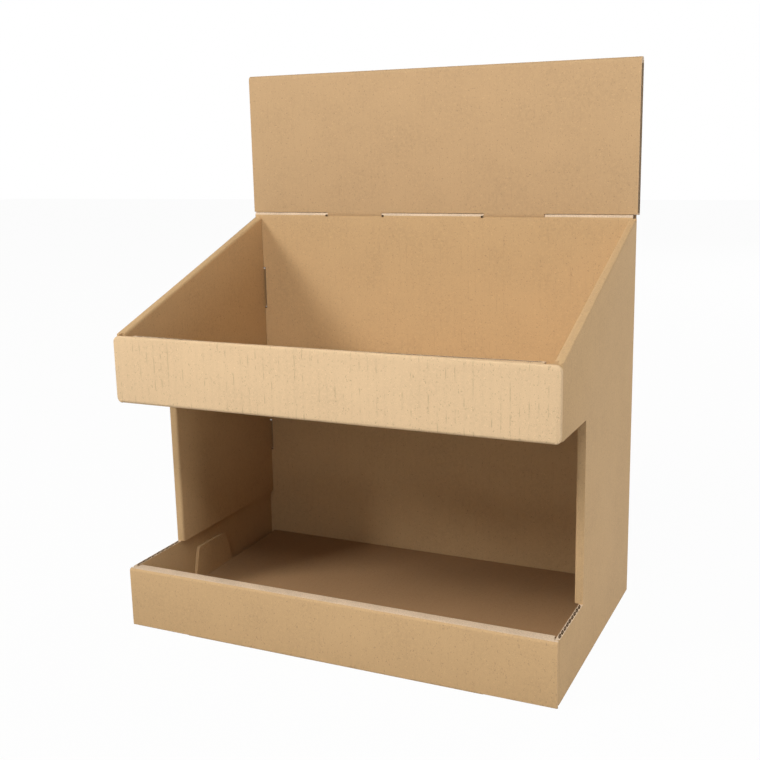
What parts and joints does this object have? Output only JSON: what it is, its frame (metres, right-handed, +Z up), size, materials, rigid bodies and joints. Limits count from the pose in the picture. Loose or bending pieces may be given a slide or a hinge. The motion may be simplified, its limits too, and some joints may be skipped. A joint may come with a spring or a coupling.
{
  "type": "two tier counter display box",
  "caption": "Two tier counter display box in kraft corrugated board: sloped sides, deep fascia, open lower tray and a hinged header flap.",
  "frame": {"origin": "middle of the footprint, on the surface the box stands on", "axes": "+Z up, +Y towards the back of the box, +X to the right of someone facing the front"},
  "size_m": [0.3514, 0.224, 0.4375],
  "materials": {
    "kraft_board": "uncoated kraft liner with fine fibre specks",
    "kraft_pad": "uncoated kraft liner, a shade darker"
  },
  "bodies": {
    "box": {"body": "kraft_board", "shelf_tray": "kraft_board", "floor_pad": "kraft_pad"},
    "header": {"header_flap": "kraft_board"}
  },
  "joints": [
    {"name": "header_crease", "type": "hinge", "parent": "box", "child": "header", "pos_m": [0, 0.1045, 0.3135], "axis": [1, 0, 0], "range_deg": [-90, 108]}
  ]
}
